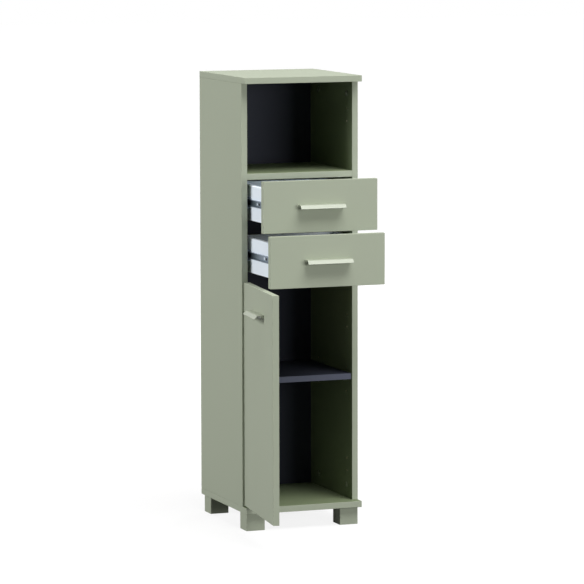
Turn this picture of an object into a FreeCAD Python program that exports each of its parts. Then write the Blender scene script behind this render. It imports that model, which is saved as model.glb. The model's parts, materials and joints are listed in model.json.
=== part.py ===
import FreeCAD, Part
import math
import os

# Tall bathroom cabinet: open niche, two drawers, and a door with a shelf behind it, on four feet.
# Millimetres. The origin is on the floor under the middle of the top board, +Z is up, the front faces -Y.
# The drawers and the door stand open as far as the OPEN values say.

V = FreeCAD.Vector
X, Y, Z = V(1, 0, 0), V(0, 1, 0), V(0, 0, 1)

# Carcass boards
WIDTH = 320.0
DEPTH = 350.0
HEIGHT = 1170.0
BOARD = 16.0
BOARD_OVERHANG = 28.5  # top and bottom boards reach past the side panels at the front
NICHE_HEIGHT = 231.0
EDGE_ROUND = 0.8
FIT = 0.05  # gap round dowels, bolts, pins and screws

# Back panel in its groove
BACK_THICKNESS = 3.0
BACK_INSET = 19.0
GROOVE_DEPTH = 7.0
GROOVE_PLAY = 0.15

# Feet
FOOT_HEIGHT = 46.0
FOOT_SIZE = 50.0
FOOT_INSET_SIDE = 6.0
FOOT_INSET_FRONT = 14.0
FOOT_INSET_REAR = 8.0
FOOT_ROUND = 1.5
FOOT_BORE_RADIUS = 6.0
FOOT_BORE_DEPTH = 20.0
FOOT_SCREW_RADIUS = 2.5
FOOT_SCREW_HEAD_RADIUS = 4.8
FOOT_SCREW_HEAD = 3.5
FOOT_SCREW_IN_BOARD = 12.0
FOOT_DOWEL_OFFSET = 14.0

# Fronts
FRONT_THICKNESS = 16.0
FRONT_MARGIN = 5.0  # fronts end this far inside the carcass's outer faces
FRONT_GAP = 3.0
FRONT_STANDOFF = 2.0  # between a closed front and the side panels' front edges
SHELF_EDGE_SHOWN = 9.0  # of the niche shelf's front edge, above the upper drawer front
DRAWER_FRONT_HEIGHT = 132.0
UPPER_DRAWER_OPEN = 130.0
LOWER_DRAWER_OPEN = 180.5
DOOR_OPEN = 96.6  # degrees

# Drawer boxes
DRAWER_SIDE_THICKNESS = 12.0
DRAWER_SIDE_HEIGHT = 89.0
DRAWER_SIDE_LENGTH = 280.0
DRAWER_SIDE_RISE = 21.0  # of the sides' lower edge above the front's
DRAWER_BOTTOM_THICKNESS = 3.0
DRAWER_BOTTOM_RISE = 8.0
DRAWER_GROOVE = 5.0
DRAWER_CAM_EDGE = 24.0
DRAWER_CAM_HEIGHTS = (24.0, 70.0)
BACK_SCREW_HEIGHTS = (25.0, 70.0)
BACK_SCREW_RADIUS = 1.9
BACK_SCREW_HEAD_RADIUS = 3.6
BACK_SCREW_HEAD = 2.2
BACK_SCREW_LENGTH = 40.0

# Ball runners, single extension
RUNNER_SPACE = 10.0  # between a side panel and the drawer side
RUNNER_LENGTH = 270.0
RUNNER_SETBACK = 2.0  # behind the side panels' front edges
RUNNER_RISE = 1.6  # above the middle of the drawer side
RUNNER_HEIGHT = 27.0
RUNNER_SHEET = 1.0
RUNNER_LIP = 1.6
RUNNER_DRAWER_GAP = 0.6
BALL_RADIUS = 2.0
BALL_PLAY = 0.1
BALL_PITCH = 14.0
BALLS_PER_ROW = 4
CAGE_SHEET = 0.6
CAGE_WEB_SPACE = 1.6  # between the cabinet member's web and the cage's
CAGE_CLEARANCE = 0.5  # to both runner members
CAGE_LENGTH = 60.0
CAGE_START = 105.0  # behind the runner's front end, drawer closed
CABINET_SCREWS_AT = (35.0, 227.0)
DRAWER_SCREWS_AT = (62.0, 215.0)
RUNNER_SLOTS_AT = (81.0, 238.0)
RUNNER_SLOT_HEIGHT = 9.4
RUNNER_SLOT_WIDTH = 8.2
RUNNER_SCREW_RADIUS = 1.9
RUNNER_SCREW_LENGTH = 11.0
RUNNER_SCREW_HEAD_RADIUS = 3.4
RUNNER_SCREW_HEAD = 1.2

# Cam connectors and dowels
CAM_RADIUS = 7.5
CAM_FLOOR = 3.5  # of board left under the disc
CAM_EDGE = 34.0
CAM_RECESS_RADIUS = 2.6
CAM_RECESS = 2.0
CAM_FRONT_SETBACK = 40.0
CAM_REAR_SETBACK = 80.0
BOLT_RADIUS = 2.6
BOLT_BORE_RADIUS = 3.5
BOLT_HEAD_RADIUS = 3.0
BOLT_HEAD = 2.5
BOLT_THREAD_RADIUS = 2.5
BOLT_THREAD = 10.5
DOWEL_RADIUS = 4.0
DOWEL_IN_FACE = 10.0
DOWEL_IN_END = 20.0
DOWEL_OFFSET = 32.0

# Inner shelf and its pins
INNER_SHELF_TOP = 394.5
INNER_SHELF_SETBACK = 4.0
INNER_SHELF_PLAY = 0.4
INNER_SHELF_REAR_GAP = 4.0
PIN_RADIUS = 2.5
PIN_IN_BOARD = 8.0
PIN_HEAD_RADIUS = 3.5
PIN_HEAD = 8.0
PIN_FRONT_SETBACK = 42.0
PIN_REAR_SETBACK = 79.0
PIN_ROWS = (-32.0, 0.0, 32.0)

# Handles
HANDLE_LENGTH = 122.5
HANDLE_SHEET = 1.8
HANDLE_REACH = 25.0
HANDLE_TOP = 5.2
HANDLE_LIP_BOTTOM = -4.2
HANDLE_LIP_ANGLE = 49.0  # of the lip below the horizontal
HANDLE_BEND = 3.0
HANDLE_BASE_DEPTH = 8.0
HANDLE_BASE_BOTTOM = -2.5
HANDLE_ARCH = 3.0  # inner round between the base and the strip
HANDLE_SCREW_SPACING = 96.0
HANDLE_SCREW_RADIUS = 2.0
HANDLE_SCREW_HOLE_RADIUS = 2.3
HANDLE_SCREW_IN_BASE = 6.0
HANDLE_SCREW_HEIGHT = 1.4
HANDLE_SCREW_HEAD_RADIUS = 4.0
HANDLE_SCREW_HEAD = 2.4
HANDLE_BELOW_DOOR_TOP = 65.0

# Concealed hinges; the link turns by LINK_SHARE of the door's angle, the other way
HINGE_ABOVE_DOOR_BOTTOM = 86.0
HINGE_BELOW_DOOR_TOP = 116.0
LINK_SHARE = 0.3
ARM_PIVOT_IN = 16.0  # from the side panel's inner face
ARM_PIVOT_AHEAD = 0.5  # of the side panel's front edge
ARM_HALF_HEIGHT = 7.2
ARM_FORK_HALF_HEIGHT = 5.4
ARM_FORK_DEPTH = 8.0  # behind the arm pivot
ARM_TIP_RADIUS = 4.0
ARM_RISE = 11.0
ARM_KNEE = (15.0, 23.5)  # from the panel's inner face, behind its front edge
ARM_NECK = (8.0, 17.5)
ARM_REAR = 55.5
ARM_PIN_RADIUS = 2.0
CUP_FROM_EDGE = 21.5
CUP_RADIUS = 17.5
CUP_DEPTH = 11.5
CUP_WALL = 1.0
CUP_PLAY = 0.1
CUP_FLANGE = 1.2
CUP_FLANGE_RADIUS = 18.8
CUP_FLANGE_CLEAR = 6.5  # bare door edge beside the flange
CUP_WING_HALF_HEIGHT = 28.0
CUP_WING_FROM_CUP = (-4.0, 15.0)
CUP_SCREW_SPACING = 45.0
CUP_SCREW_FROM_CUP = 9.5
CUP_SCREW_RADIUS = 1.75
CUP_SCREW_LENGTH = 11.0
CUP_SCREW_HEAD_RADIUS = 3.4
CUP_SCREW_HEAD = 1.4
CUP_PIVOT_FROM_EDGE = 9.0
CUP_PIVOT_DEPTH = 2.1
CUP_PIN_RADIUS = 1.5
CUP_PIN_HALF_LENGTH = 10.4
ELBOW_FROM_EDGE = 15.9
ELBOW_DEPTH = 7.2
LINK_HALF_WIDTH = 1.8
LINK_EYE_RADIUS = 2.7
LINK_HALF_HEIGHT = 5.0
PLATE_THICKNESS = 3.0
PLATE_HALF_HEIGHT = 8.0
PLATE_SETBACK = 37.0  # of the plate screws behind the side panel's front edge
PLATE_FRONT = 17.5
PLATE_WING_HALF_HEIGHT = 23.0
PLATE_WING_HALF_LENGTH = 6.0
PLATE_RAIL = 5.0
PLATE_RAIL_PLAY = 0.5
PLATE_RAIL_INSET = 3.0
PLATE_SCREW_SPACING = 32.0
PLATE_SCREW_RADIUS = 2.5
PLATE_SCREW_DEPTH = 11.0
PLATE_SCREW_HEAD_RADIUS = 4.2
PLATE_SCREW_HEAD = 2.0

# Wall bracket against tipping
BRACKET_WIDTH = 32.0
BRACKET_SHEET = 2.0
BRACKET_LEG = 20.0
BRACKET_DROP = 17.0
BRACKET_HOLE_RADIUS = 2.75
BRACKET_HOLE_DROP = 10.5
BACK_HOLE_RADIUS = 3.5
BRACKET_SCREW_SPACING = 18.0
BRACKET_SCREW_RADIUS = 1.75
BRACKET_SCREW_DEPTH = 12.0
BRACKET_SCREW_HEAD_RADIUS = 3.2
BRACKET_SCREW_HEAD = 1.8

# Levels and planes worked out from the sizes above
HALF_WIDTH = WIDTH / 2
INNER_HALF = HALF_WIDTH - BOARD
FRONT_Y = -DEPTH / 2
REAR_Y = DEPTH / 2
SIDE_FRONT_Y = FRONT_Y + BOARD_OVERHANG
BACK_REAR_Y = REAR_Y - BACK_INSET
BACK_FRONT_Y = BACK_REAR_Y - BACK_THICKNESS
SIDE_TOP_Z = HEIGHT - BOARD
SIDE_BOTTOM_Z = FOOT_HEIGHT + BOARD
NICHE_SHELF_TOP_Z = SIDE_TOP_Z - NICHE_HEIGHT
NICHE_SHELF_BOTTOM_Z = NICHE_SHELF_TOP_Z - BOARD
FRONT_HALF = HALF_WIDTH - FRONT_MARGIN
FRONT_BACK_Y = SIDE_FRONT_Y - FRONT_STANDOFF
FRONT_FACE_Y = FRONT_BACK_Y - FRONT_THICKNESS
UPPER_FRONT_Z = NICHE_SHELF_TOP_Z - SHELF_EDGE_SHOWN - DRAWER_FRONT_HEIGHT
LOWER_FRONT_Z = UPPER_FRONT_Z - FRONT_GAP - DRAWER_FRONT_HEIGHT
DOOR_TOP_Z = LOWER_FRONT_Z - FRONT_GAP
DOOR_BOTTOM_Z = SIDE_BOTTOM_Z + FRONT_GAP
DOOR_EDGE_X = -FRONT_HALF
DRAWER_HALF = INNER_HALF - RUNNER_SPACE
DRAWER_INNER_HALF = DRAWER_HALF - DRAWER_SIDE_THICKNESS
DRAWER_REAR_Y = FRONT_BACK_Y + DRAWER_SIDE_LENGTH
RUNNER_FRONT_Y = SIDE_FRONT_Y + RUNNER_SETBACK
INNER_SHELF_BOTTOM_Z = INNER_SHELF_TOP - BOARD
PIN_Z = INNER_SHELF_BOTTOM_Z - PIN_HEAD_RADIUS
CAM_PLACES_Y = (SIDE_FRONT_Y + CAM_FRONT_SETBACK, REAR_Y - CAM_REAR_SETBACK)
DOWEL_PLACES_Y = (CAM_PLACES_Y[0] + DOWEL_OFFSET, CAM_PLACES_Y[1] - DOWEL_OFFSET)
PIN_PLACES_Y = (SIDE_FRONT_Y + PIN_FRONT_SETBACK, REAR_Y - PIN_REAR_SETBACK)
HINGE_Z = (DOOR_BOTTOM_Z + HINGE_ABOVE_DOOR_BOTTOM, DOOR_TOP_Z - HINGE_BELOW_DOOR_TOP)
DRAWER_FRONT_Z = {"upper": UPPER_FRONT_Z, "lower": LOWER_FRONT_Z}
DRAWER_OPEN = {"upper": UPPER_DRAWER_OPEN, "lower": LOWER_DRAWER_OPEN}
SIDES = (-1, 1)


def box(x0, x1, y0, y1, z0, z1):
    return Part.makeBox(x1 - x0, y1 - y0, z1 - z0, V(x0, y0, z0))


def edge_axis(edge):
    """The letter of the axis that a box's edge runs along."""
    size = edge.BoundBox
    spans = {"x": size.XLength, "y": size.YLength, "z": size.ZLength}
    return max(spans, key=spans.get)


def board(corners, round_along, radius=EDGE_ROUND):
    """A box whose edges along the named axes are rounded."""
    block = box(*corners)
    edges = [e for e in block.Edges if edge_axis(e) in round_along]
    return block.makeFillet(radius, edges)


def rod(radius, start, end):
    line = end - start
    return Part.makeCylinder(radius, line.Length, start, line)


def prism(points, along):
    return Part.Face(Part.makePolygon(points + points[:1])).extrude(along)


def group(shapes):
    return Part.makeCompound(shapes)


def drilled(shape, cutters):
    """Cuts the shape with the cutters that reach it."""
    near = [c for c in cutters if c.BoundBox.intersect(shape.BoundBox)]
    return shape.cut(near) if near else shape


def mirrored(shape):
    return shape.mirror(V(0, 0, 0), X)


def pair(left):
    return group([left, mirrored(left)])


def turned(shape, point, degrees):
    copy = shape.copy()
    copy.rotate(point, Z, degrees)
    return copy


def stud(seat, into, length, radius, head_radius, head):
    """A headed pin: the head lies on the seat and the shank runs into the work."""
    shank = rod(radius, seat, seat + into * length)
    return rod(head_radius, seat - into * head, seat).fuse(shank)


def screw(seat, into, length, radius, head_radius, head):
    """A stud with a driver recess in its head."""
    recess = rod(head_radius / 2, seat - into * head, seat - into * (head / 2))
    return stud(seat, into, length, radius, head_radius, head).cut(recess)


def screw_hole(seat, into, length, radius):
    return rod(radius + FIT, seat, seat + into * (length + FIT))


# Cam connectors: a joint is the disc's place on its board, the board's normal there,
# the bolt's direction, the board's thickness and the disc's distance from the board's end.
def joint_axis(joint):
    place, out, into, thickness, edge = joint
    start = place - out * (thickness / 2)
    return start, start + into * edge


def cam_disc(joint):
    place, out, into, thickness, edge = joint
    start, end = joint_axis(joint)
    disc = rod(CAM_RADIUS - FIT, place, place - out * (thickness - CAM_FLOOR))
    pocket = rod(BOLT_HEAD_RADIUS + FIT, start - into * BOLT_HEAD, end)
    recess = rod(CAM_RECESS_RADIUS, place, place - out * CAM_RECESS)
    return disc.cut([pocket, recess])


def cam_bolt(joint):
    place, out, into, thickness, edge = joint
    start, end = joint_axis(joint)
    head = rod(BOLT_HEAD_RADIUS, start - into * BOLT_HEAD, start)
    shank = rod(BOLT_RADIUS, start, end)
    thread = rod(BOLT_THREAD_RADIUS, end, end + into * BOLT_THREAD)
    return head.fuse([shank, thread])


def joint_cutters(joint):
    place, out, into, thickness, edge = joint
    start, end = joint_axis(joint)
    pocket = rod(CAM_RADIUS, place, place - out * (thickness - CAM_FLOOR))
    bore = rod(BOLT_BORE_RADIUS, start - into * (BOLT_HEAD + FIT), end)
    thread = rod(BOLT_THREAD_RADIUS + FIT, end, end + into * (BOLT_THREAD + FIT))
    return [pocket, bore, thread]


def corner_joints():
    joints = []
    for side in SIDES:
        for y in CAM_PLACES_Y:
            low = V(side * INNER_HALF, y, SIDE_BOTTOM_Z + CAM_EDGE)
            high = V(side * INNER_HALF, y, SIDE_TOP_Z - CAM_EDGE)
            joints.append((low, X * -side, Z * -1, BOARD, CAM_EDGE))
            joints.append((high, X * -side, Z, BOARD, CAM_EDGE))
            under = V(side * (INNER_HALF - CAM_EDGE), y, NICHE_SHELF_BOTTOM_Z)
            joints.append((under, Z * -1, X * side, BOARD, CAM_EDGE))
    return joints


def dowel_places():
    """Each dowel's place on the joint between two boards, and its direction into the drilled face."""
    places = []
    for side in SIDES:
        middle = side * (INNER_HALF + BOARD / 2)
        for y in DOWEL_PLACES_Y:
            places.append((V(middle, y, SIDE_BOTTOM_Z), Z * -1))
            places.append((V(middle, y, SIDE_TOP_Z), Z))
            places.append((V(side * INNER_HALF, y, NICHE_SHELF_TOP_Z - BOARD / 2), X * side))
    for centre in foot_centres().values():
        x = centre.x - math.copysign(FOOT_DOWEL_OFFSET, centre.x)
        y = centre.y - math.copysign(FOOT_DOWEL_OFFSET, centre.y)
        places.append((V(x, y, FOOT_HEIGHT), Z))
    return places


def dowel(place, into, play=0.0):
    start = place - into * (DOWEL_IN_END + play)
    end = place + into * (DOWEL_IN_FACE + play)
    return rod(DOWEL_RADIUS + play, start, end)


def foot_centres():
    x = HALF_WIDTH - FOOT_INSET_SIDE - FOOT_SIZE / 2
    front = FRONT_Y + FOOT_INSET_FRONT + FOOT_SIZE / 2
    rear = REAR_Y - FOOT_INSET_REAR - FOOT_SIZE / 2
    return {
        "front_left": V(-x, front, 0),
        "front_right": V(x, front, 0),
        "rear_left": V(-x, rear, 0),
        "rear_right": V(x, rear, 0),
    }


def foot_screw_seat(centre):
    return centre + Z * FOOT_BORE_DEPTH


def foot_screw_length():
    return FOOT_HEIGHT - FOOT_BORE_DEPTH + FOOT_SCREW_IN_BOARD


def plate_screw_seats(side):
    """Seats on a side panel for hinge-plate screws, at the hinges and at their mirrored heights."""
    heights = HINGE_Z + tuple(SIDE_TOP_Z + SIDE_BOTTOM_Z - z for z in HINGE_Z)
    offsets = (-PLATE_SCREW_SPACING / 2, PLATE_SCREW_SPACING / 2)
    return [V(side * INNER_HALF, SIDE_FRONT_Y + PLATE_SETBACK, z + dz) for z in heights for dz in offsets]


def runner_z(drawer):
    return DRAWER_FRONT_Z[drawer] + DRAWER_SIDE_RISE + DRAWER_SIDE_HEIGHT / 2 + RUNNER_RISE


def cabinet_screw_seats():
    seats = []
    for drawer in DRAWER_FRONT_Z:
        for at in CABINET_SCREWS_AT:
            seats.append(V(-INNER_HALF + RUNNER_SHEET, RUNNER_FRONT_Y + at, runner_z(drawer)))
    return seats


def bracket_screw_seats():
    y = BACK_FRONT_Y - BRACKET_LEG / 2 - BRACKET_SHEET / 2
    return [V(sign * BRACKET_SCREW_SPACING / 2, y, SIDE_TOP_Z - BRACKET_SHEET) for sign in SIDES]


def back_groove():
    """The slot for the back panel, cut into the boards round it."""
    half = INNER_HALF + GROOVE_DEPTH
    low, high = SIDE_BOTTOM_Z - GROOVE_DEPTH, SIDE_TOP_Z + GROOVE_DEPTH
    return box(-half, half, BACK_FRONT_Y - GROOVE_PLAY, BACK_REAR_Y + GROOVE_PLAY, low, high)


def fixing_cutters():
    """Holes for the connectors, dowels and screws that join the carcass boards and feet."""
    cutters = []
    for joint in corner_joints():
        cutters += joint_cutters(joint)
    cutters += [dowel(place, into, FIT) for place, into in dowel_places()]
    for centre in foot_centres().values():
        cutters.append(screw_hole(foot_screw_seat(centre), Z, foot_screw_length(), FOOT_SCREW_RADIUS))
    for seat in bracket_screw_seats():
        cutters.append(screw_hole(seat, Z, BRACKET_SHEET + BRACKET_SCREW_DEPTH, BRACKET_SCREW_RADIUS))
    return cutters


def panel_cutters(side):
    """Holes in one side panel for hinge plates, shelf pins and runners."""
    out = X * side
    cutters = []
    for seat in plate_screw_seats(side):
        cutters.append(screw_hole(seat, out, PLATE_SCREW_DEPTH, PLATE_SCREW_RADIUS))
    for y in PIN_PLACES_Y:
        for row in PIN_ROWS:
            cutters.append(screw_hole(V(side * INNER_HALF, y, PIN_Z + row), out, PIN_IN_BOARD, PIN_RADIUS))
    for seat in cabinet_screw_seats():
        place = V(-side * seat.x, seat.y, seat.z)
        cutters.append(screw_hole(place, out, RUNNER_SCREW_LENGTH, RUNNER_SCREW_RADIUS))
    return cutters


# Carcass pieces
def top_board():
    plain = board((-HALF_WIDTH, HALF_WIDTH, FRONT_Y, REAR_Y, SIDE_TOP_Z, HEIGHT), "xyz")
    return drilled(plain, [back_groove()] + fixing_cutters())


def bottom_board():
    plain = board((-HALF_WIDTH, HALF_WIDTH, FRONT_Y, REAR_Y, FOOT_HEIGHT, SIDE_BOTTOM_Z), "xyz")
    return drilled(plain, [back_groove()] + fixing_cutters())


def side_panel(side):
    inner, outer = side * INNER_HALF, side * HALF_WIDTH
    corners = (min(inner, outer), max(inner, outer), SIDE_FRONT_Y, REAR_Y, SIDE_BOTTOM_Z, SIDE_TOP_Z)
    return drilled(board(corners, "xyz"), [back_groove()] + fixing_cutters() + panel_cutters(side))


def niche_shelf():
    corners = (-INNER_HALF, INNER_HALF, SIDE_FRONT_Y, BACK_FRONT_Y, NICHE_SHELF_BOTTOM_Z, NICHE_SHELF_TOP_Z)
    return drilled(board(corners, "x"), fixing_cutters())


def back_panel():
    half = INNER_HALF + GROOVE_DEPTH - GROOVE_PLAY
    low = SIDE_BOTTOM_Z - GROOVE_DEPTH + GROOVE_PLAY
    high = SIDE_TOP_Z + GROOVE_DEPTH - GROOVE_PLAY
    sheet = box(-half, half, BACK_FRONT_Y, BACK_REAR_Y, low, high)
    z = SIDE_TOP_Z - BRACKET_HOLE_DROP
    return sheet.cut(rod(BACK_HOLE_RADIUS, V(0, BACK_FRONT_Y, z), V(0, BACK_REAR_Y, z)))


def inner_shelf():
    half = INNER_HALF - INNER_SHELF_PLAY
    front, rear = SIDE_FRONT_Y + INNER_SHELF_SETBACK, BACK_FRONT_Y - INNER_SHELF_REAR_GAP
    return board((-half, half, front, rear, INNER_SHELF_BOTTOM_Z, INNER_SHELF_TOP), "xyz")


def shelf_pins():
    pins = []
    for side in SIDES:
        for y in PIN_PLACES_Y:
            seat = V(side * INNER_HALF, y, PIN_Z)
            pins.append(stud(seat, X * side, PIN_IN_BOARD, PIN_RADIUS, PIN_HEAD_RADIUS, PIN_HEAD))
    return group(pins)


def foot(centre):
    half = FOOT_SIZE / 2
    corners = (centre.x - half, centre.x + half, centre.y - half, centre.y + half, 0, FOOT_HEIGHT)
    bore = rod(FOOT_BORE_RADIUS, centre, foot_screw_seat(centre))
    return drilled(board(corners, "z", FOOT_ROUND), fixing_cutters() + [bore])


def foot_screws():
    size = (foot_screw_length(), FOOT_SCREW_RADIUS, FOOT_SCREW_HEAD_RADIUS, FOOT_SCREW_HEAD)
    return group([screw(foot_screw_seat(centre), Z, *size) for centre in foot_centres().values()])


def cam_discs():
    return group([cam_disc(joint) for joint in corner_joints()])


def cam_bolts():
    return group([cam_bolt(joint) for joint in corner_joints()])


def dowels():
    return group([dowel(place, into) for place, into in dowel_places()])


def wall_bracket():
    half = BRACKET_WIDTH / 2
    rear, high = BACK_FRONT_Y, SIDE_TOP_Z
    top = box(-half, half, rear - BRACKET_LEG, rear, high - BRACKET_SHEET, high)
    drop = box(-half, half, rear - BRACKET_SHEET, rear, high - BRACKET_DROP, high)
    z = SIDE_TOP_Z - BRACKET_HOLE_DROP
    hole = rod(BRACKET_HOLE_RADIUS, V(0, BACK_FRONT_Y - BRACKET_SHEET, z), V(0, BACK_FRONT_Y, z))
    holes = [screw_hole(seat, Z, BRACKET_SHEET, BRACKET_SCREW_RADIUS) for seat in bracket_screw_seats()]
    return top.fuse(drop).removeSplitter().cut([hole] + holes)


def wall_bracket_screws():
    length = BRACKET_SHEET + BRACKET_SCREW_DEPTH
    size = (length, BRACKET_SCREW_RADIUS, BRACKET_SCREW_HEAD_RADIUS, BRACKET_SCREW_HEAD)
    return group([screw(seat, Z, *size) for seat in bracket_screw_seats()])


# Runner pieces, drawn for the left side of one drawer; u runs from the side panel inwards
def runner_profile(drawer, points, start, length):
    z = runner_z(drawer)
    section = [V(-INNER_HALF + u, start, z + w) for u, w in points]
    return prism(section, Y * length)


def cabinet_runner_left(drawer):
    reach, half, t = RUNNER_SPACE - RUNNER_DRAWER_GAP, RUNNER_HEIGHT / 2, RUNNER_SHEET
    lip = half - t - RUNNER_LIP
    upper = [(t, half - t), (reach - t, half - t), (reach - t, lip), (reach, lip), (reach, half), (0, half)]
    lower = [(u, -w) for u, w in reversed(upper)]
    member = runner_profile(drawer, upper + lower, RUNNER_FRONT_Y, RUNNER_LENGTH)
    holes = [rod(RUNNER_SCREW_RADIUS + FIT, s - X * RUNNER_SHEET, s) for s in cabinet_screw_seats()]
    return drilled(member, holes)


def cabinet_runners(drawer):
    return pair(cabinet_runner_left(drawer))


def cabinet_runner_screws():
    size = (RUNNER_SCREW_LENGTH, RUNNER_SCREW_RADIUS, RUNNER_SCREW_HEAD_RADIUS, RUNNER_SCREW_HEAD)
    left = [screw(seat, X * -1, *size) for seat in cabinet_screw_seats()]
    return group(left + [mirrored(one) for one in left])


def cage_reach():
    """Where the ball cage's web and the tips of its flanges lie, from the side panel inwards."""
    return RUNNER_SHEET + CAGE_WEB_SPACE, RUNNER_SPACE - RUNNER_DRAWER_GAP - RUNNER_SHEET - CAGE_CLEARANCE


def ball_row_height():
    """A ball row's distance from the middle of the runner."""
    return RUNNER_HEIGHT / 2 - RUNNER_SHEET - BALL_RADIUS - BALL_PLAY


def drawer_runner_half():
    """Half the height of the drawer member, which leaves the balls their play."""
    return ball_row_height() - BALL_RADIUS - BALL_PLAY


def drawer_screw_seats(drawer):
    x = -DRAWER_HALF - RUNNER_SHEET
    return [V(x, RUNNER_FRONT_Y + at, runner_z(drawer)) for at in DRAWER_SCREWS_AT]


def runner_slot(drawer, at):
    """An upright slot with round ends, its middle at a distance behind the runner's front end."""
    half = RUNNER_SLOT_WIDTH / 2
    x0, x1 = -DRAWER_HALF - RUNNER_SHEET, -DRAWER_HALF
    y = RUNNER_FRONT_Y + at
    straight = (RUNNER_SLOT_HEIGHT - RUNNER_SLOT_WIDTH) / 2
    low, high = runner_z(drawer) - straight, runner_z(drawer) + straight
    ends = [rod(half, V(x0, y, z), V(x1, y, z)) for z in (low, high)]
    return box(x0, x1, y - half, y + half, low, high).fuse(ends)


def drawer_runner_left(drawer):
    back, half, t = RUNNER_SPACE, drawer_runner_half(), RUNNER_SHEET
    front = cage_reach()[0] + CAGE_SHEET + CAGE_CLEARANCE
    upper = [(back - t, half - t), (front, half - t), (front, half), (back, half)]
    lower = [(u, -w) for u, w in reversed(upper)]
    member = runner_profile(drawer, upper + lower, RUNNER_FRONT_Y, RUNNER_LENGTH)
    holes = [rod(RUNNER_SCREW_RADIUS + FIT, s, s + X * RUNNER_SHEET) for s in drawer_screw_seats(drawer)]
    return member.cut(holes + [runner_slot(drawer, at) for at in RUNNER_SLOTS_AT])


def ball_places(drawer):
    """Ball centres of the left runner, both rows, drawer closed."""
    web, tip = cage_reach()
    u = (web + CAGE_SHEET + tip) / 2
    w = ball_row_height()
    middle = RUNNER_FRONT_Y + CAGE_START + CAGE_LENGTH / 2
    steps = [(i - (BALLS_PER_ROW - 1) / 2) * BALL_PITCH for i in range(BALLS_PER_ROW)]
    heights = (runner_z(drawer) - w, runner_z(drawer) + w)
    return [V(-INNER_HALF + u, middle + step, z) for step in steps for z in heights]


def ball_cage_left(drawer):
    web, tip = cage_reach()
    w = ball_row_height()
    inner, outer = w - CAGE_SHEET / 2, w + CAGE_SHEET / 2
    upper = [(web + CAGE_SHEET, inner), (tip, inner), (tip, outer), (web, outer)]
    lower = [(u, -v) for u, v in reversed(upper)]
    strip = runner_profile(drawer, upper + lower, RUNNER_FRONT_Y + CAGE_START, CAGE_LENGTH)
    reach = Z * (BALL_RADIUS + BALL_PLAY)
    return strip.cut([rod(BALL_RADIUS + BALL_PLAY, p - reach, p + reach) for p in ball_places(drawer)])


def cage_shift(drawer):
    """The cage rolls half as far as the drawer slides."""
    return Y * (-DRAWER_OPEN[drawer] / 2)


def ball_cages(drawer):
    return pair(ball_cage_left(drawer)).translated(cage_shift(drawer))


def balls(drawer):
    left = [Part.makeSphere(BALL_RADIUS, p) for p in ball_places(drawer)]
    return group(left + [mirrored(one) for one in left]).translated(cage_shift(drawer))


# Drawer pieces, drawn closed and then pulled out
def pulled(drawer, shape):
    return shape.translated(Y * -DRAWER_OPEN[drawer])


def drawer_low(drawer):
    return DRAWER_FRONT_Z[drawer] + DRAWER_SIDE_RISE


def drawer_joints(drawer):
    joints = []
    for side in SIDES:
        for height in DRAWER_CAM_HEIGHTS:
            place = V(side * DRAWER_INNER_HALF, FRONT_BACK_Y + DRAWER_CAM_EDGE, drawer_low(drawer) + height)
            joints.append((place, X * -side, Y * -1, DRAWER_SIDE_THICKNESS, DRAWER_CAM_EDGE))
    return joints


def back_screw_seats(drawer):
    """Seats of the drawer back's screws, their heads sunk into the drawer sides."""
    y = DRAWER_REAR_Y - DRAWER_SIDE_THICKNESS / 2
    x = DRAWER_HALF - BACK_SCREW_HEAD
    places = [(side, drawer_low(drawer) + height) for side in SIDES for height in BACK_SCREW_HEIGHTS]
    return [(V(side * x, y, z), X * -side) for side, z in places]


def drawer_groove(drawer):
    """The slot for the drawer bottom in the front and the sides."""
    half = DRAWER_INNER_HALF + DRAWER_GROOVE
    z = drawer_low(drawer) + DRAWER_BOTTOM_RISE
    top = z + DRAWER_BOTTOM_THICKNESS + GROOVE_PLAY
    return box(-half, half, FRONT_BACK_Y - DRAWER_GROOVE, DRAWER_REAR_Y, z - GROOVE_PLAY, top)


def drawer_cutters(drawer):
    """Holes for the connectors and screws that join one drawer."""
    cutters = []
    for joint in drawer_joints(drawer):
        cutters += joint_cutters(joint)
    for seat, into in back_screw_seats(drawer):
        cutters.append(screw_hole(seat, into, BACK_SCREW_LENGTH, BACK_SCREW_RADIUS))
        cutters.append(rod(BACK_SCREW_HEAD_RADIUS + FIT, seat, seat - into * BACK_SCREW_HEAD))
    for seat in drawer_screw_seats(drawer):
        hole = screw_hole(seat, X, RUNNER_SCREW_LENGTH, RUNNER_SCREW_RADIUS)
        cutters += [hole, mirrored(hole)]
    return cutters


def front_board(low, high):
    corners = (-FRONT_HALF, FRONT_HALF, FRONT_FACE_Y, FRONT_BACK_Y, low, high)
    return board(corners, "xyz")


def drawer_handle_z(drawer):
    return DRAWER_FRONT_Z[drawer] + DRAWER_FRONT_HEIGHT / 2


def drawer_front(drawer):
    low = DRAWER_FRONT_Z[drawer]
    cutters = [drawer_groove(drawer)] + drawer_cutters(drawer) + handle_screw_holes(drawer_handle_z(drawer))
    return pulled(drawer, drilled(front_board(low, low + DRAWER_FRONT_HEIGHT), cutters))


def drawer_side(drawer, side):
    inner, outer = side * DRAWER_INNER_HALF, side * DRAWER_HALF
    low = drawer_low(drawer)
    across = (min(inner, outer), max(inner, outer), FRONT_BACK_Y, DRAWER_REAR_Y)
    plain = board(across + (low, low + DRAWER_SIDE_HEIGHT), "y")
    return pulled(drawer, drilled(plain, [drawer_groove(drawer)] + drawer_cutters(drawer)))


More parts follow.
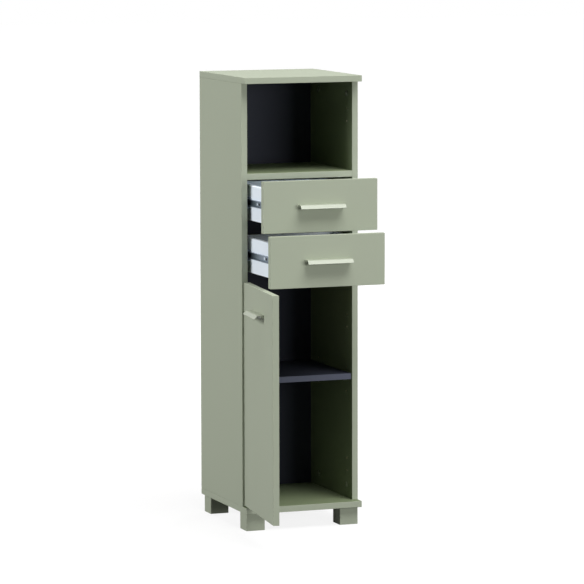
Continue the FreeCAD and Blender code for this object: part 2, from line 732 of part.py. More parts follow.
def drawer_back(drawer):
    low = drawer_low(drawer) + DRAWER_BOTTOM_RISE + DRAWER_BOTTOM_THICKNESS + GROOVE_PLAY
    high = drawer_low(drawer) + DRAWER_SIDE_HEIGHT
    half = DRAWER_INNER_HALF
    plain = box(-half, half, DRAWER_REAR_Y - DRAWER_SIDE_THICKNESS, DRAWER_REAR_Y, low, high)
    return pulled(drawer, drilled(plain, drawer_cutters(drawer)))


def drawer_bottom(drawer):
    half = DRAWER_INNER_HALF + DRAWER_GROOVE - GROOVE_PLAY
    z = drawer_low(drawer) + DRAWER_BOTTOM_RISE
    front = FRONT_BACK_Y - DRAWER_GROOVE + GROOVE_PLAY
    return pulled(drawer, box(-half, half, front, DRAWER_REAR_Y, z, z + DRAWER_BOTTOM_THICKNESS))


def drawer_runners(drawer):
    return pulled(drawer, pair(drawer_runner_left(drawer)))


def drawer_runner_screws(drawer):
    size = (RUNNER_SCREW_LENGTH, RUNNER_SCREW_RADIUS, RUNNER_SCREW_HEAD_RADIUS, RUNNER_SCREW_HEAD)
    left = [screw(seat, X, *size) for seat in drawer_screw_seats(drawer)]
    return pulled(drawer, group(left + [mirrored(one) for one in left]))


def drawer_cam_discs(drawer):
    return pulled(drawer, group([cam_disc(joint) for joint in drawer_joints(drawer)]))


def drawer_cam_bolts(drawer):
    return pulled(drawer, group([cam_bolt(joint) for joint in drawer_joints(drawer)]))


def drawer_back_screws(drawer):
    size = (BACK_SCREW_LENGTH, BACK_SCREW_RADIUS, BACK_SCREW_HEAD_RADIUS, BACK_SCREW_HEAD)
    return pulled(drawer, group([screw(seat, into, *size) for seat, into in back_screw_seats(drawer)]))


# Handles, on a closed front; d runs out of the front's face, w up from the handle's middle
def handle_screw_places(z):
    return [V(side * HANDLE_SCREW_SPACING / 2, FRONT_BACK_Y, z + HANDLE_SCREW_HEIGHT) for side in SIDES]


def handle_screw_holes(z):
    through = Y * -FRONT_THICKNESS
    return [rod(HANDLE_SCREW_HOLE_RADIUS, p, p + through) for p in handle_screw_places(z)]


def handle_strip(inset):
    """One skin of the arched strip: its flat top, the bend's middle and end, and the lip's end."""
    slope = math.radians(HANDLE_LIP_ANGLE)
    radius = HANDLE_BEND - inset
    drop = HANDLE_TOP - HANDLE_BEND
    lip_out = V(0, -math.sin(slope), math.cos(slope))
    end = V(0, -HANDLE_REACH, HANDLE_LIP_BOTTOM) - lip_out * inset
    rise = (drop + HANDLE_BEND * math.cos(slope) - HANDLE_LIP_BOTTOM) / math.sin(slope)
    reach = HANDLE_REACH - rise * math.cos(slope) - HANDLE_BEND * math.sin(slope)
    centre = V(0, -reach, drop)
    half = slope / 2
    top = centre + Z * radius
    middle = centre + V(0, -math.sin(half), math.cos(half)) * radius
    bend_end = centre + lip_out * radius
    return top, middle, bend_end, end


def handle_arch(under_top):
    """The round under the strip where it meets the base: its start, middle and end."""
    flat = -HANDLE_BASE_DEPTH - under_top.y
    radius = min(HANDLE_ARCH, flat / 2)
    centre = V(0, -HANDLE_BASE_DEPTH - radius, under_top.z - radius)
    return centre + Z * radius, centre + (Y + Z) * (radius * math.sqrt(0.5)), centre + Y * radius


def handle(z):
    top, middle, bend_end, end = handle_strip(0)
    under_top, under_middle, under_bend, under_end = handle_strip(HANDLE_SHEET)
    arch_top, arch_middle, arch_end = handle_arch(under_top)
    root = V(0, 0, HANDLE_TOP)
    foot_in = V(0, 0, HANDLE_BASE_BOTTOM)
    foot_out = V(0, -HANDLE_BASE_DEPTH, HANDLE_BASE_BOTTOM)
    outline = [
        Part.LineSegment(root, top),
        Part.Arc(top, middle, bend_end),
        Part.LineSegment(bend_end, end),
        Part.LineSegment(end, under_end),
        Part.LineSegment(under_end, under_bend),
        Part.Arc(under_bend, under_middle, under_top),
        Part.LineSegment(under_top, arch_top),
        Part.Arc(arch_top, arch_middle, arch_end),
        Part.LineSegment(arch_end, foot_out),
        Part.LineSegment(foot_out, foot_in),
        Part.LineSegment(foot_in, root),
    ]
    section = Part.Face(Part.Wire([piece.toShape() for piece in outline]))
    bar = section.extrude(X * HANDLE_LENGTH).translated(V(-HANDLE_LENGTH / 2, FRONT_FACE_Y, z))
    depth = Y * -(FRONT_THICKNESS + HANDLE_SCREW_IN_BASE + FIT)
    return bar.cut([rod(HANDLE_SCREW_RADIUS + FIT, p, p + depth) for p in handle_screw_places(z)])


def handle_screws(z):
    length = FRONT_THICKNESS + HANDLE_SCREW_IN_BASE
    size = (length, HANDLE_SCREW_RADIUS, HANDLE_SCREW_HEAD_RADIUS, HANDLE_SCREW_HEAD)
    return group([screw(place, Y * -1, *size) for place in handle_screw_places(z)])


# Hinge pieces, drawn for a closed door at height 0 and then set at both hinge heights
ARM_PIVOT = V(-INNER_HALF + ARM_PIVOT_IN, SIDE_FRONT_Y - ARM_PIVOT_AHEAD, 0)
CUP_PIVOT = V(DOOR_EDGE_X + CUP_PIVOT_FROM_EDGE, FRONT_BACK_Y - CUP_PIVOT_DEPTH, 0)
ELBOW = V(DOOR_EDGE_X + ELBOW_FROM_EDGE, FRONT_BACK_Y - ELBOW_DEPTH, 0)
CUP_CENTRE = V(DOOR_EDGE_X + CUP_FROM_EDGE, FRONT_BACK_Y, 0)


def at_hinges(shape):
    return [shape.translated(Z * z) for z in HINGE_Z]


def upright(radius, place, low, high):
    return rod(radius, place + Z * low, place + Z * high)


def from_panel(inward, behind):
    """A point given from the left side panel's inner face and behind its front edge."""
    return V(-INNER_HALF + inward, SIDE_FRONT_Y + behind, 0)


def layer(low, high, corner, far):
    return box(corner.x, far.x, corner.y, far.y, low, high)


def hinge_plate():
    rear = from_panel(PLATE_THICKNESS, ARM_REAR)
    base = layer(-PLATE_HALF_HEIGHT, PLATE_HALF_HEIGHT, from_panel(0, PLATE_FRONT), rear)
    wing_front = from_panel(0, PLATE_SETBACK - PLATE_WING_HALF_LENGTH)
    wing_rear = from_panel(PLATE_THICKNESS, PLATE_SETBACK + PLATE_WING_HALF_LENGTH)
    wings = layer(-PLATE_WING_HALF_HEIGHT, PLATE_WING_HALF_HEIGHT, wing_front, wing_rear)
    half = ARM_FORK_HALF_HEIGHT - PLATE_RAIL_PLAY
    rail_front = from_panel(PLATE_THICKNESS, PLATE_FRONT + PLATE_RAIL_INSET)
    rail = layer(-half, half, rail_front, rear + X * PLATE_RAIL - Y * PLATE_RAIL_INSET)
    plate = base.fuse([wings, rail]).removeSplitter()
    seats = [from_panel(0, PLATE_SETBACK) + Z * (sign * PLATE_SCREW_SPACING / 2) for sign in SIDES]
    return plate.cut([rod(PLATE_SCREW_RADIUS + FIT, s, s + X * PLATE_THICKNESS) for s in seats])


def hinge_plates():
    return group(at_hinges(hinge_plate()))


def hinge_plate_screws():
    length = PLATE_THICKNESS + PLATE_SCREW_DEPTH
    size = (length, PLATE_SCREW_RADIUS, PLATE_SCREW_HEAD_RADIUS, PLATE_SCREW_HEAD)
    used = plate_screw_seats(-1)[: 2 * len(HINGE_Z)]
    return group([screw(seat + X * PLATE_THICKNESS, X * -1, *size) for seat in used])


def hinge_arm():
    tip_in = ARM_PIVOT + X * ARM_TIP_RADIUS
    tip = ARM_PIVOT - Y * ARM_TIP_RADIUS
    tip_out = ARM_PIVOT - X * ARM_TIP_RADIUS
    knee, neck = from_panel(*ARM_KNEE), from_panel(*ARM_NECK)
    foot_front = from_panel(PLATE_THICKNESS, ARM_NECK[1])
    foot_rear = from_panel(PLATE_THICKNESS, ARM_REAR)
    back = from_panel(ARM_RISE, ARM_REAR)
    corners = [tip_out, neck, foot_front, foot_rear, back, knee, tip_in]
    edges = [Part.makeLine(a, b) for a, b in zip(corners, corners[1:])]
    edges.append(Part.Arc(tip_in, tip, tip_out).toShape())
    solid = Part.Face(Part.Wire(edges)).extrude(Z * (2 * ARM_HALF_HEIGHT)).translated(Z * -ARM_HALF_HEIGHT)
    half = ARM_FORK_HALF_HEIGHT
    reach = V(ARM_FORK_DEPTH, ARM_TIP_RADIUS, 0)
    fork = layer(-half, half, ARM_PIVOT - reach, ARM_PIVOT + V(reach.x, ARM_FORK_DEPTH, 0))
    channel_far = from_panel(PLATE_THICKNESS + PLATE_RAIL + PLATE_RAIL_PLAY, ARM_REAR)
    channel = layer(-half, half, foot_front, channel_far)
    eye = upright(ARM_PIN_RADIUS + FIT, ARM_PIVOT, -ARM_HALF_HEIGHT, ARM_HALF_HEIGHT)
    return solid.cut([fork, channel, eye])


def hinge_arms():
    return group(at_hinges(hinge_arm()))


def hinge_arm_pins():
    return group(at_hinges(upright(ARM_PIN_RADIUS, ARM_PIVOT, -ARM_HALF_HEIGHT, ARM_HALF_HEIGHT)))


def link_limb(start, end):
    along = end - start
    along.normalize()
    across = Z.cross(along) * LINK_HALF_WIDTH
    corners = [start + across, end + across, end - across, start - across]
    low, tall = Z * -LINK_HALF_HEIGHT, Z * (2 * LINK_HALF_HEIGHT)
    return prism([c + low for c in corners], tall)


def hinge_link():
    half = LINK_HALF_HEIGHT
    eyes = [upright(LINK_EYE_RADIUS, p, -half, half) for p in (ARM_PIVOT, CUP_PIVOT)]
    bend = upright(LINK_HALF_WIDTH, ELBOW, -half, half)
    limbs = [link_limb(CUP_PIVOT, ELBOW), link_limb(ELBOW, ARM_PIVOT)]
    body = eyes[0].fuse([eyes[1], bend] + limbs).removeSplitter()
    arm_eye = upright(ARM_PIN_RADIUS + FIT, ARM_PIVOT, -half, half)
    cup_eye = upright(CUP_PIN_RADIUS + FIT, CUP_PIVOT, -half, half)
    return body.cut([arm_eye, cup_eye])


def hinge_links():
    return turned(group(at_hinges(hinge_link())), ARM_PIVOT, LINK_SHARE * DOOR_OPEN)


# Door pieces, drawn closed and then swung open
def cup_pivot_at_rest():
    angle = math.radians(LINK_SHARE * DOOR_OPEN)
    arm = CUP_PIVOT - ARM_PIVOT
    x = arm.x * math.cos(angle) - arm.y * math.sin(angle)
    y = arm.x * math.sin(angle) + arm.y * math.cos(angle)
    return ARM_PIVOT + V(x, y, 0)


def swung(shape):
    return turned(shape, CUP_PIVOT, -DOOR_OPEN).translated(cup_pivot_at_rest() - CUP_PIVOT)


def cup_pin_bore(play):
    half = CUP_PIN_HALF_LENGTH + play
    return upright(CUP_PIN_RADIUS + play, CUP_PIVOT, -half, half)


def cup_screw_seats():
    x = CUP_CENTRE.x + CUP_SCREW_FROM_CUP
    y = CUP_CENTRE.y + CUP_FLANGE
    return [V(x, y, sign * CUP_SCREW_SPACING / 2) for sign in SIDES]


def hinge_cup():
    shell = rod(CUP_RADIUS, CUP_CENTRE, CUP_CENTRE - Y * CUP_DEPTH)
    ring = rod(CUP_FLANGE_RADIUS, CUP_CENTRE, CUP_CENTRE + Y * CUP_FLANGE)
    near, far = (CUP_CENTRE.x + offset for offset in CUP_WING_FROM_CUP)
    tall = CUP_WING_HALF_HEIGHT
    wings = box(near, far, CUP_CENTRE.y, CUP_CENTRE.y + CUP_FLANGE, -tall, tall)
    hollow_top = CUP_CENTRE + Y * CUP_FLANGE
    hollow = rod(CUP_RADIUS - CUP_WALL, hollow_top, CUP_CENTRE - Y * (CUP_DEPTH - CUP_WALL))
    edge = DOOR_EDGE_X + CUP_FLANGE_CLEAR
    bare = box(DOOR_EDGE_X, edge, CUP_CENTRE.y, hollow_top.y, -CUP_FLANGE_RADIUS, CUP_FLANGE_RADIUS)
    flange = ring.fuse(wings).cut(bare)
    holes = [screw_hole(seat, Y * -1, CUP_FLANGE, CUP_SCREW_RADIUS) for seat in cup_screw_seats()]
    return shell.fuse(flange).removeSplitter().cut([hollow, cup_pin_bore(0)] + holes)


def hinge_cups():
    return swung(group(at_hinges(hinge_cup())))


def hinge_cup_pins():
    return swung(group(at_hinges(cup_pin_bore(0))))


def hinge_cup_screws():
    size = (CUP_SCREW_LENGTH, CUP_SCREW_RADIUS, CUP_SCREW_HEAD_RADIUS, CUP_SCREW_HEAD)
    pieces = []
    for seat in cup_screw_seats():
        pieces += at_hinges(screw(seat, Y * -1, *size))
    return swung(group(pieces))


def door_handle_z():
    return DOOR_TOP_Z - HANDLE_BELOW_DOOR_TOP


def door_panel():
    cutters = handle_screw_holes(door_handle_z())
    depth = Y * -(CUP_DEPTH + CUP_PLAY)
    cutters += at_hinges(rod(CUP_RADIUS + CUP_PLAY, CUP_CENTRE, CUP_CENTRE + depth))
    for seat in cup_screw_seats():
        cutters += at_hinges(screw_hole(seat, Y * -1, CUP_SCREW_LENGTH, CUP_SCREW_RADIUS))
    return swung(drilled(front_board(DOOR_BOTTOM_Z, DOOR_TOP_Z), cutters))


def drawer_pieces(drawer):
    name = drawer + "_drawer_"
    z = drawer_handle_z(drawer)
    return {
        name + "front": drawer_front(drawer),
        name + "side_left": drawer_side(drawer, -1),
        name + "side_right": drawer_side(drawer, 1),
        name + "back": drawer_back(drawer),
        name + "bottom": drawer_bottom(drawer),
        name + "handle": pulled(drawer, handle(z)),
        name + "handle_screws": pulled(drawer, handle_screws(z)),
        name + "runners": drawer_runners(drawer),
        name + "runner_screws": drawer_runner_screws(drawer),
        name + "cam_discs": drawer_cam_discs(drawer),
        name + "cam_bolts": drawer_cam_bolts(drawer),
        name + "back_screws": drawer_back_screws(drawer),
        drawer + "_cabinet_runners": cabinet_runners(drawer),
        drawer + "_ball_cages": ball_cages(drawer),
        drawer + "_balls": balls(drawer),
    }


def all_pieces():
    pieces = {
        "top_board": top_board(),
        "bottom_board": bottom_board(),
        "side_panel_left": side_panel(-1),
        "side_panel_right": side_panel(1),
        "back_panel": back_panel(),
        "niche_shelf": niche_shelf(),
        "inner_shelf": inner_shelf(),
        "shelf_pins": shelf_pins(),
        "foot_screws": foot_screws(),
        "cam_discs": cam_discs(),
        "cam_bolts": cam_bolts(),
        "dowels": dowels(),
        "wall_bracket": wall_bracket(),
        "wall_bracket_screws": wall_bracket_screws(),
        "cabinet_runner_screws": cabinet_runner_screws(),
        "hinge_plates": hinge_plates(),
        "hinge_plate_screws": hinge_plate_screws(),
        "hinge_arms": hinge_arms(),
        "hinge_arm_pins": hinge_arm_pins(),
        "hinge_links": hinge_links(),
        "hinge_cups": hinge_cups(),
        "hinge_cup_pins": hinge_cup_pins(),
        "hinge_cup_screws": hinge_cup_screws(),
        "door_panel": door_panel(),
        "door_handle": swung(handle(door_handle_z())),
        "door_handle_screws": swung(handle_screws(door_handle_z())),
    }
    for place, centre in foot_centres().items():
        pieces["foot_" + place] = foot(centre)
    for drawer in DRAWER_FRONT_Z:
        pieces.update(drawer_pieces(drawer))
    return pieces


def main():
    os.makedirs("parts", exist_ok=True)
    for name, shape in all_pieces().items():
        shape.exportStep(os.path.join("parts", name + ".step"))


main()
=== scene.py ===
import json
import math

import bpy
from mathutils import Matrix, Vector


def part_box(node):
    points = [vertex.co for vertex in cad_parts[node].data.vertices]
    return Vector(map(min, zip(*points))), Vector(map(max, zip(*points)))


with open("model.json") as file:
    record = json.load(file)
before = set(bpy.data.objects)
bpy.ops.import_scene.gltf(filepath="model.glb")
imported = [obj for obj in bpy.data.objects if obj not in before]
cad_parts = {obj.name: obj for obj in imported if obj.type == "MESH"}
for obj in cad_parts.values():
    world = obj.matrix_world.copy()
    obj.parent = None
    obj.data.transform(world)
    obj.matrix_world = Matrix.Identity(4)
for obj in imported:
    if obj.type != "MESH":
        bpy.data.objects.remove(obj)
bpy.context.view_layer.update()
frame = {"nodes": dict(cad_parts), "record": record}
nodes = frame["nodes"]

# Colours, as linear red, green and blue
SAGE = (0.375, 0.412, 0.320)
# painted shade: a deeper green for faces inside the cabinet, standing in for the shade there
SAGE_PAINTED_SHADE = (0.185, 0.224, 0.130)
# the inner shelf's darker top against its lighter front edge band is partly a real edge band and partly
# painted shade on the top
ANTHRACITE = (0.032, 0.035, 0.049)
EDGE_BAND = (0.098, 0.107, 0.145)
BACKING = (0.034, 0.037, 0.050)
WHITE = (0.83, 0.90, 0.975)
# painted shade: drawer bottoms greyer than the white drawer sides, standing in for the shade inside the
# drawers
DRAWER_BOTTOM_PAINTED_SHADE = (0.58, 0.63, 0.68)
CHIPBOARD = (0.70, 0.62, 0.48)
HARDBOARD = (0.27, 0.18, 0.11)
RUNNER_STEEL = (0.175, 0.22, 0.27)
HINGE_STEEL = (0.56, 0.56, 0.54)
BRIGHT_STEEL = (0.60, 0.60, 0.60)
CAST_ZINC = (0.55, 0.58, 0.48)
DARK_STEEL = (0.06, 0.065, 0.07)
BEECH = (0.60, 0.43, 0.27)
FLOOR_GREY = (0.15, 0.15, 0.15)
BACKGROUND_WHITE = (1.0, 1.0, 1.0)
OPAQUE = (1.0,)
HANDLE_TONE = 0.89  # the handles' paint against the boards' green

# Surfaces: noise scales are per metre, bump heights in metres, tones are shares of a colour
BOARD_SPECULAR = 0.04
BOARD_GRAIN_SCALE = 900.0
BOARD_POLISH_SCALE = 6.0
BOARD_PEBBLE_SCALE = 1600.0
BOARD_PEBBLE_STRENGTH = 0.12
SAGE_ROUGHNESS = 0.55
SAGE_GRAIN = 0.035
ANTHRACITE_ROUGHNESS = 0.5
BACKING_ROUGHNESS = 0.55
DARK_GRAIN = 0.06
DRAWER_ROUGHNESS = 0.42
DRAWER_GRAIN = 0.015
CHIP_SCALE = 350.0
CHIP_TONES = (0.75, 1.2)
METAL_GRAIN_SCALE = 400.0
METAL_TONES = (0.94, 1.06)
METAL_STRENGTH = 0.02
RUNNER_STREAK = (1, 0.03, 1)
PAINT_GRAIN_SCALE = 700.0
PAINT_TONES = (0.97, 1.03)
PAINT_POLISH_SPREAD = 0.03
PAINT_PEEL_SCALE = 1100.0
PAINT_PEEL_STRENGTH = 0.1
WOOD_GRAIN_SCALE = 60.0
WOOD_STREAK = (4, 4, 1)
WOOD_TONES = (0.8, 1.12)
WOOD_ROUGHNESS = 0.6
WOOD_STRENGTH = 0.2
WOOD_BUMP_HEIGHT = 0.0002
POLISH_SPREAD = 0.04  # how far roughness wanders to either side
BUMP_HEIGHT = 0.0001
FACE_LIMIT = 0.9  # cosine above which a face counts as looking along a direction
SKIN = Vector((0.00015, 0.002, 0.002))  # a side panel's facing and rounded edges over its core

# Stage, in metres and watts: the floor glows less near the object, so that its shadow shows
FLOOR_SIZE = 60.0
FLOOR_DROP = 0.0002
GLOW_NEAR = 0.86
GLOW_NEAR_REACH = 0.5
GLOW_FAR = 1.0
GLOW_FAR_REACH = 2.5
AMBIENT = 0.03
BACKGROUND_STRENGTH = 1.0
LAMPS = {
    "key": dict(place=(1.2, -3.3, 8.4), target=(0, -0.15, 0.6), width=6.6, height=5.6, power=940),
    "front": dict(place=(2.1, -5.6, 1.25), target=(0, -0.1, 0.7), width=2.4, height=1.4, power=145),
    "left": dict(place=(-5.7, 0.55, 2.7), target=(0, 0, 0.5), width=3.4, height=2.6, power=268),
    "rear": dict(place=(4.6, 4.4, 1.0), target=(0, 0, 0.6), width=2.6, height=2.2, power=330),
}

# Camera, in radians and metres
YAW = math.radians(20.648)
PITCH = math.radians(6.497)
ROLL = math.radians(-0.111)
FOCAL_PX = 3719.95
IMAGE_PX = 584
SENSOR_MM = 36.0
CAMERA_PLACE = (-3.38052, -9.05761, 1.69859)
CAMERA_FAR = 100.0


# Shader building blocks

def empty_tree(owner):
    """The node tree of a material or a world, with no nodes in it."""
    owner.use_nodes = True
    owner.node_tree.nodes.clear()
    return owner.node_tree


def new_material(name):
    mat = bpy.data.materials.new(name)
    tree = empty_tree(mat)
    out = tree.nodes.new("ShaderNodeOutputMaterial")
    shader = tree.nodes.new("ShaderNodeBsdfPrincipled")
    tree.links.new(shader.outputs["BSDF"], out.inputs["Surface"])
    return mat, tree, shader


def noise(tree, scale, detail=2.0, stretch=(1, 1, 1)):
    """Noise in the part's frame, from 0 to 1."""
    coord = tree.nodes.new("ShaderNodeTexCoord")
    mapping = tree.nodes.new("ShaderNodeMapping")
    mapping.inputs["Scale"].default_value = stretch
    tex = tree.nodes.new("ShaderNodeTexNoise")
    tex.inputs["Scale"].default_value = scale
    tex.inputs["Detail"].default_value = detail
    tree.links.new(coord.outputs["Object"], mapping.inputs["Vector"])
    tree.links.new(mapping.outputs["Vector"], tex.inputs["Vector"])
    return tex.outputs["Fac"]


def join_values(tree, operation, first, second):
    """One value from two sockets."""
    node = tree.nodes.new("ShaderNodeMath")
    node.operation = operation
    tree.links.new(first, node.inputs[0])
    tree.links.new(second, node.inputs[1])
    return node.outputs["Value"]


def mix_colour(tree, fac, a, b):
    """A mix of two colours, each given as numbers or as a socket."""
    node = tree.nodes.new("ShaderNodeMix")
    node.data_type = "RGBA"
    tree.links.new(fac, node.inputs["Factor"])
    for socket, value in ((node.inputs["A"], a), (node.inputs["B"], b)):
        if isinstance(value, tuple):
            socket.default_value = value + OPAQUE
        else:
            tree.links.new(value, socket)
    return node.outputs["Result"]


def shade(colour, factor):
    return tuple(c * factor for c in colour)


def toned(tree, fac, colour, tones):
    """A colour that wanders between two tones of itself."""
    low, high = tones
    return mix_colour(tree, fac, shade(colour, low), shade(colour, high))


def polish(tree, shader, fac, roughness, spread=POLISH_SPREAD):
    """Roughness that wanders to either side of a value."""
    node = tree.nodes.new("ShaderNodeMapRange")
    node.inputs["To Min"].default_value = roughness - spread
    node.inputs["To Max"].default_value = roughness + spread
    tree.links.new(fac, node.inputs["Value"])
    tree.links.new(node.outputs["Result"], shader.inputs["Roughness"])


def bump(tree, shader, height, strength, distance=BUMP_HEIGHT):
    node = tree.nodes.new("ShaderNodeBump")
    node.inputs["Strength"].default_value = strength
    node.inputs["Distance"].default_value = distance
    tree.links.new(height, node.inputs["Height"])
    tree.links.new(node.outputs["Normal"], shader.inputs["Normal"])


def face_mask(tree, direction):
    """1 on faces that look along the direction, 0 elsewhere."""
    geometry = tree.nodes.new("ShaderNodeNewGeometry")
    dot = tree.nodes.new("ShaderNodeVectorMath")
    dot.operation = "DOT_PRODUCT"
    dot.inputs[1].default_value = direction
    tree.links.new(geometry.outputs["Normal"], dot.inputs[0])
    above = tree.nodes.new("ShaderNodeMath")
    above.operation = "GREATER_THAN"
    above.inputs[1].default_value = FACE_LIMIT
    tree.links.new(dot.outputs["Value"], above.inputs[0])
    return above.outputs["Value"]


def inside_mask(tree, low, high):
    """1 at points within a box of the part's frame, 0 outside."""
    coord = tree.nodes.new("ShaderNodeTexCoord")
    split = tree.nodes.new("ShaderNodeSeparateXYZ")
    tree.links.new(coord.outputs["Object"], split.inputs["Vector"])
    mask = None
    for axis, floor, ceiling in zip("XYZ", low, high):
        near = tree.nodes.new("ShaderNodeMath")
        near.operation = "COMPARE"
        near.inputs[1].default_value = (floor + ceiling) / 2
        near.inputs[2].default_value = (ceiling - floor) / 2
        tree.links.new(split.outputs[axis], near.inputs[0])
        within = near.outputs["Value"]
        mask = within if mask is None else join_values(tree, "MULTIPLY", mask, within)
    return mask


# Materials

def laminate(name, colour, roughness, grain, core=None, face=None, face_colour=None):
    """Melamine-faced board: fine grain, a pebbled satin surface and raw chipboard in its drilled core.

    Faces that look along the direction face have the colour face_colour.
    """
    mat, tree, shader = new_material(name)
    shader.inputs["Specular IOR Level"].default_value = BOARD_SPECULAR
    tones = (1 - grain, 1 + grain)
    fine = noise(tree, BOARD_GRAIN_SCALE)
    base = toned(tree, fine, colour, tones)
    if face:
        base = mix_colour(tree, face_mask(tree, face), base, toned(tree, fine, face_colour, tones))
    if core:
        raw = toned(tree, noise(tree, CHIP_SCALE, detail=4.0), CHIPBOARD, CHIP_TONES)
        base = mix_colour(tree, inside_mask(tree, *core), base, raw)
    tree.links.new(base, shader.inputs["Base Color"])
    polish(tree, shader, noise(tree, BOARD_POLISH_SCALE), roughness)
    bump(tree, shader, noise(tree, BOARD_PEBBLE_SCALE), BOARD_PEBBLE_STRENGTH)
    return mat


def metal(name, colour, roughness, streak=(1, 1, 1)):
    """Plated or cast metal: fine grain or streaks in its colour and polish."""
    mat, tree, shader = new_material(name)
    shader.inputs["Metallic"].default_value = 1.0
    grain = noise(tree, METAL_GRAIN_SCALE, detail=3.0, stretch=streak)
    tree.links.new(toned(tree, grain, colour, METAL_TONES), shader.inputs["Base Color"])
    polish(tree, shader, grain, roughness)
    bump(tree, shader, grain, METAL_STRENGTH)
    return mat


def paint(name, colour, roughness):
    """Powder coat: even colour with a faint orange-peel surface."""
    mat, tree, shader = new_material(name)
    fine = noise(tree, PAINT_GRAIN_SCALE)
    tree.links.new(toned(tree, fine, colour, PAINT_TONES), shader.inputs["Base Color"])
    polish(tree, shader, fine, roughness, PAINT_POLISH_SPREAD)
    bump(tree, shader, noise(tree, PAINT_PEEL_SCALE), PAINT_PEEL_STRENGTH)
    return mat


def turned_wood(name, colour):
    """Beech dowel: streaks along the grain."""
    mat, tree, shader = new_material(name)
    grain = noise(tree, WOOD_GRAIN_SCALE, detail=5.0, stretch=WOOD_STREAK)
    tree.links.new(toned(tree, grain, colour, WOOD_TONES), shader.inputs["Base Color"])
    shader.inputs["Roughness"].default_value = WOOD_ROUGHNESS
    bump(tree, shader, grain, WOOD_STRENGTH, WOOD_BUMP_HEIGHT)
    return mat


def sage_board(name, core=None, painted_shade_face=None):
    """Sage board, with painted shade: a deeper green on the faces that look along the given direction.
    """
    return laminate(name, SAGE, SAGE_ROUGHNESS, SAGE_GRAIN, core, face=painted_shade_face, face_colour=SAGE_PAINTED_SHADE)


def side_panel(name, node, painted_shade_face):
    """Sage board with its raw core under the faces and rounded edges of a side panel."""
    low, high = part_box(node)
    return sage_board(name, (Vector(low) + SKIN, Vector(high) - SKIN), painted_shade_face)


sage = sage_board("sage_board")
# Painted shade: the side panels' inner faces and the tops of the bottom board and niche shelf take the
# deeper green
sage_left = side_panel("sage_board_left", "side_panel_left", painted_shade_face=(1, 0, 0))
sage_right = side_panel("sage_board_right", "side_panel_right", painted_shade_face=(-1, 0, 0))
sage_shelf_painted_shade = sage_board("sage_board_shelf_painted_shade", painted_shade_face=(0, 0, 1))
# Inner shelf: a lighter front edge band over a darker top, partly a real edge band and partly painted
# shade on the top
anthracite = laminate("anthracite_board", ANTHRACITE, ANTHRACITE_ROUGHNESS, DARK_GRAIN,
                      face=(0, -1, 0), face_colour=EDGE_BAND)
backing = laminate("anthracite_back", BACKING, BACKING_ROUGHNESS, DARK_GRAIN,
                   face=(0, 1, 0), face_colour=HARDBOARD)
white = laminate("white_board", WHITE, DRAWER_ROUGHNESS, DRAWER_GRAIN)
# Drawer bottoms: painted shade in their grey top, over their own raw hardboard underside
drawer_base_painted_shade = laminate("hardboard_painted_shade", DRAWER_BOTTOM_PAINTED_SHADE, DRAWER_ROUGHNESS, DRAWER_GRAIN,
                       face=(0, 0, -1), face_colour=HARDBOARD)
handle_paint = paint("handle_metal", shade(SAGE, HANDLE_TONE), roughness=0.38)
runner_steel = metal("runner_steel", RUNNER_STEEL, roughness=0.36, streak=RUNNER_STREAK)
hinge_steel = metal("hinge_steel", HINGE_STEEL, roughness=0.28)
bright_steel = metal("bright_steel", BRIGHT_STEEL, roughness=0.32)
cast_zinc = metal("cast_zinc", CAST_ZINC, roughness=0.35)
dark_steel = metal("dark_steel", DARK_STEEL, roughness=0.45)
beech = turned_wood("beech", BEECH)

# Each node takes its own material if it has one here, or else that of its slot
SLOTS = {
    "sage_board": sage,
    "anthracite_board": anthracite,
    "white_board": white,
    "handle_metal": handle_paint,
    "runner_steel": runner_steel,
    "hinge_steel": hinge_steel,
    "bright_steel": bright_steel,
    "cast_zinc": cast_zinc,
    "beech": beech,
}
OWN = {
    "side_panel_left": sage_left,
    "side_panel_right": sage_right,
    "bottom_board": sage_shelf_painted_shade,
    "niche_shelf": sage_shelf_painted_shade,
    "back_panel": backing,
    "upper_drawer_runner_screws": dark_steel,
    "lower_drawer_runner_screws": dark_steel,
    "upper_drawer_bottom": drawer_base_painted_shade,
    "lower_drawer_bottom": drawer_base_painted_shade,
}

for part in frame["record"]["subparts"]:
    mesh = nodes[part["node"]].data
    mesh.materials.clear()
    mesh.materials.append(OWN.get(part["node"], SLOTS[part["material_slot"]]))


# Floor, background, lamps and camera

def add_object(name, data):
    piece = bpy.data.objects.new(name, data)
    bpy.context.scene.collection.objects.link(piece)
    return piece


def camera_sees(tree):
    """1 for rays that show the background: straight, mirrored or through glass."""
    path = tree.nodes.new("ShaderNodeLightPath")
    seen = path.outputs["Is Camera Ray"]
    for kind in ("Is Glossy Ray", "Is Transmission Ray"):
        seen = join_values(tree, "MAXIMUM", seen, path.outputs[kind])
    return seen


def split_rays(tree, out, lit, seen):
    """One shader for the rays that show the background, and another for the light on the object."""
    mix = tree.nodes.new("ShaderNodeMixShader")
    tree.links.new(camera_sees(tree), mix.inputs["Fac"])
    tree.links.new(lit, mix.inputs[1])
    tree.links.new(seen, mix.inputs[2])
    tree.links.new(mix.outputs["Shader"], out.inputs["Surface"])


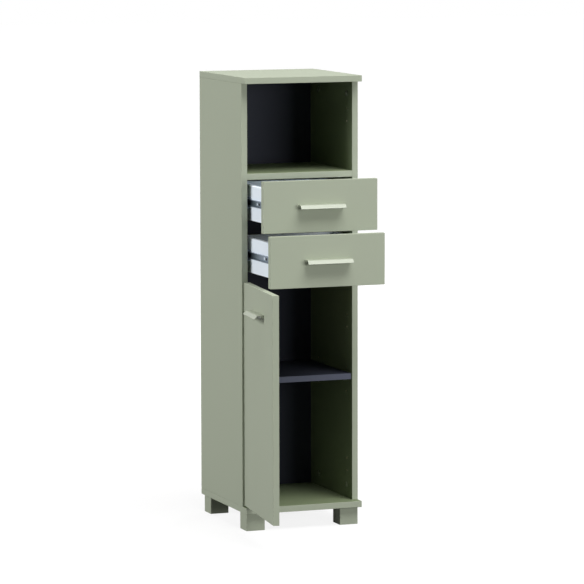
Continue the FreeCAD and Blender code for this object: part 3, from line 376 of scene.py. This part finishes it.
def floor_material():
    """Grey for the light on the object, but seen as white with the object's shadow on it."""
    mat = bpy.data.materials.new("floor")
    tree = empty_tree(mat)
    out = tree.nodes.new("ShaderNodeOutputMaterial")
    grey = tree.nodes.new("ShaderNodeBsdfDiffuse")
    grey.inputs["Color"].default_value = FLOOR_GREY + OPAQUE
    place = tree.nodes.new("ShaderNodeTexCoord")
    away = tree.nodes.new("ShaderNodeVectorMath")
    away.operation = "LENGTH"
    tree.links.new(place.outputs["Object"], away.inputs[0])
    rise = tree.nodes.new("ShaderNodeMapRange")
    rise.inputs["From Min"].default_value = GLOW_NEAR_REACH
    rise.inputs["From Max"].default_value = GLOW_FAR_REACH
    rise.inputs["To Min"].default_value = GLOW_NEAR
    rise.inputs["To Max"].default_value = GLOW_FAR
    tree.links.new(away.outputs["Value"], rise.inputs["Value"])
    glow = tree.nodes.new("ShaderNodeEmission")
    tree.links.new(rise.outputs["Result"], glow.inputs["Strength"])
    both = tree.nodes.new("ShaderNodeAddShader")
    tree.links.new(grey.outputs["BSDF"], both.inputs[0])
    tree.links.new(glow.outputs["Emission"], both.inputs[1])
    split_rays(tree, out, grey.outputs["BSDF"], both.outputs["Shader"])
    return mat


def add_floor():
    """A floor a hair below the feet, so that their undersides stay clear of it."""
    half = FLOOR_SIZE / 2
    corners = [(x * half, y * half, -FLOOR_DROP) for x, y in ((-1, -1), (1, -1), (1, 1), (-1, 1))]
    mesh = bpy.data.meshes.new("floor")
    mesh.from_pydata(corners, [], [(0, 1, 2, 3)])
    mesh.materials.append(floor_material())
    floor = add_object("floor", mesh)


def add_world():
    """A white background that gives little light of its own."""
    world = bpy.data.worlds.new("studio")
    bpy.context.scene.world = world
    tree = empty_tree(world)
    out = tree.nodes.new("ShaderNodeOutputWorld")
    soft = tree.nodes.new("ShaderNodeBackground")
    soft.inputs["Strength"].default_value = AMBIENT
    seen = tree.nodes.new("ShaderNodeBackground")
    seen.inputs["Color"].default_value = BACKGROUND_WHITE + OPAQUE
    seen.inputs["Strength"].default_value = BACKGROUND_STRENGTH
    split_rays(tree, out, soft.outputs["Background"], seen.outputs["Background"])


def add_softbox(name, place, target, width, height, power):
    light = bpy.data.lights.new(name, "AREA")
    light.shape = "RECTANGLE"
    light.size = width
    light.size_y = height
    light.energy = power
    lamp = add_object(name, light)
    lamp.location = place
    lamp.rotation_euler = (Vector(target) - Vector(place)).to_track_quat("-Z", "Y").to_euler()


def add_camera():
    """A camera at the photograph's viewing angle."""
    ahead = Vector((math.sin(YAW) * math.cos(PITCH), math.cos(YAW) * math.cos(PITCH), -math.sin(PITCH)))
    level = Vector((math.cos(YAW), -math.sin(YAW), 0))
    upright = level.cross(ahead)
    right = level * math.cos(ROLL) + upright * math.sin(ROLL)
    up = upright * math.cos(ROLL) - level * math.sin(ROLL)
    data = bpy.data.cameras.new("camera")
    data.sensor_width = SENSOR_MM
    data.lens = FOCAL_PX * SENSOR_MM / IMAGE_PX
    data.clip_end = CAMERA_FAR
    camera = add_object("camera", data)
    axes = Matrix((right, up, -ahead)).transposed()
    camera.matrix_world = Matrix.Translation(CAMERA_PLACE) @ axes.to_4x4()
    bpy.context.scene.camera = camera


add_floor()
add_world()
for lamp_name, lamp_values in LAMPS.items():
    add_softbox(lamp_name, **lamp_values)
add_camera()
bpy.context.scene.view_settings.view_transform = "Standard"
